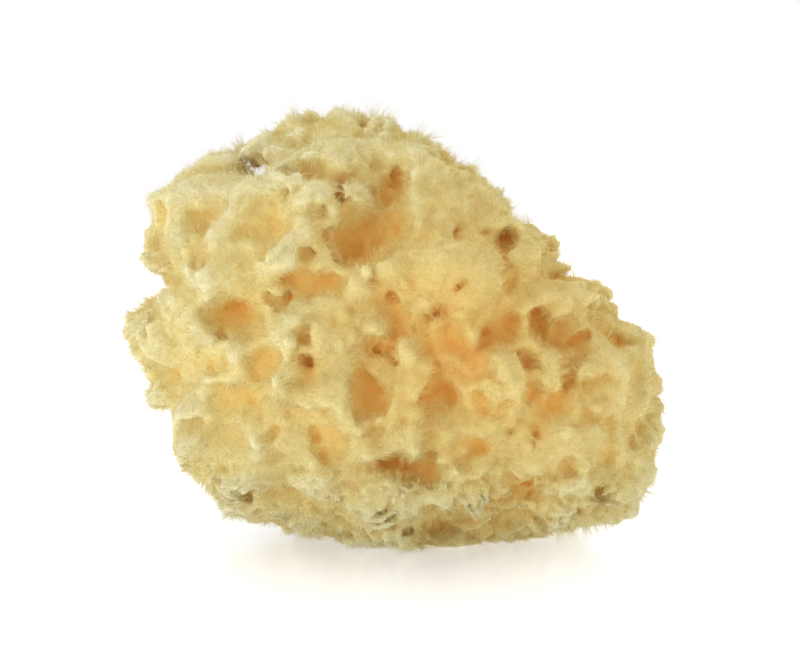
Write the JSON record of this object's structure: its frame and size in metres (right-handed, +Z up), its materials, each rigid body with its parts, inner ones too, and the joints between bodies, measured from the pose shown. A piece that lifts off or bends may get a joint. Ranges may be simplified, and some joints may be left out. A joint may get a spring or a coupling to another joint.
{
  "type": "sea sponge",
  "caption": "Natural honeycomb sea sponge: an irregular domed lump of soft golden fibre, pitted all over with deep rounded hollows and cut flat where it grew.",
  "frame": {"origin": "on the flat cut that the sponge rests on, under the middle of its lump", "axes": "+X along its length, to the right seen from the front; +Y from its front to its back; +Z up, away from the cut"},
  "size_m": [0.1523, 0.1069, 0.1194],
  "materials": {
    "sponge_fibre": "matt, soft and fibrous"
  },
  "bodies": {
    "root": {"sponge": "sponge_fibre"}
  },
  "joints": []
}
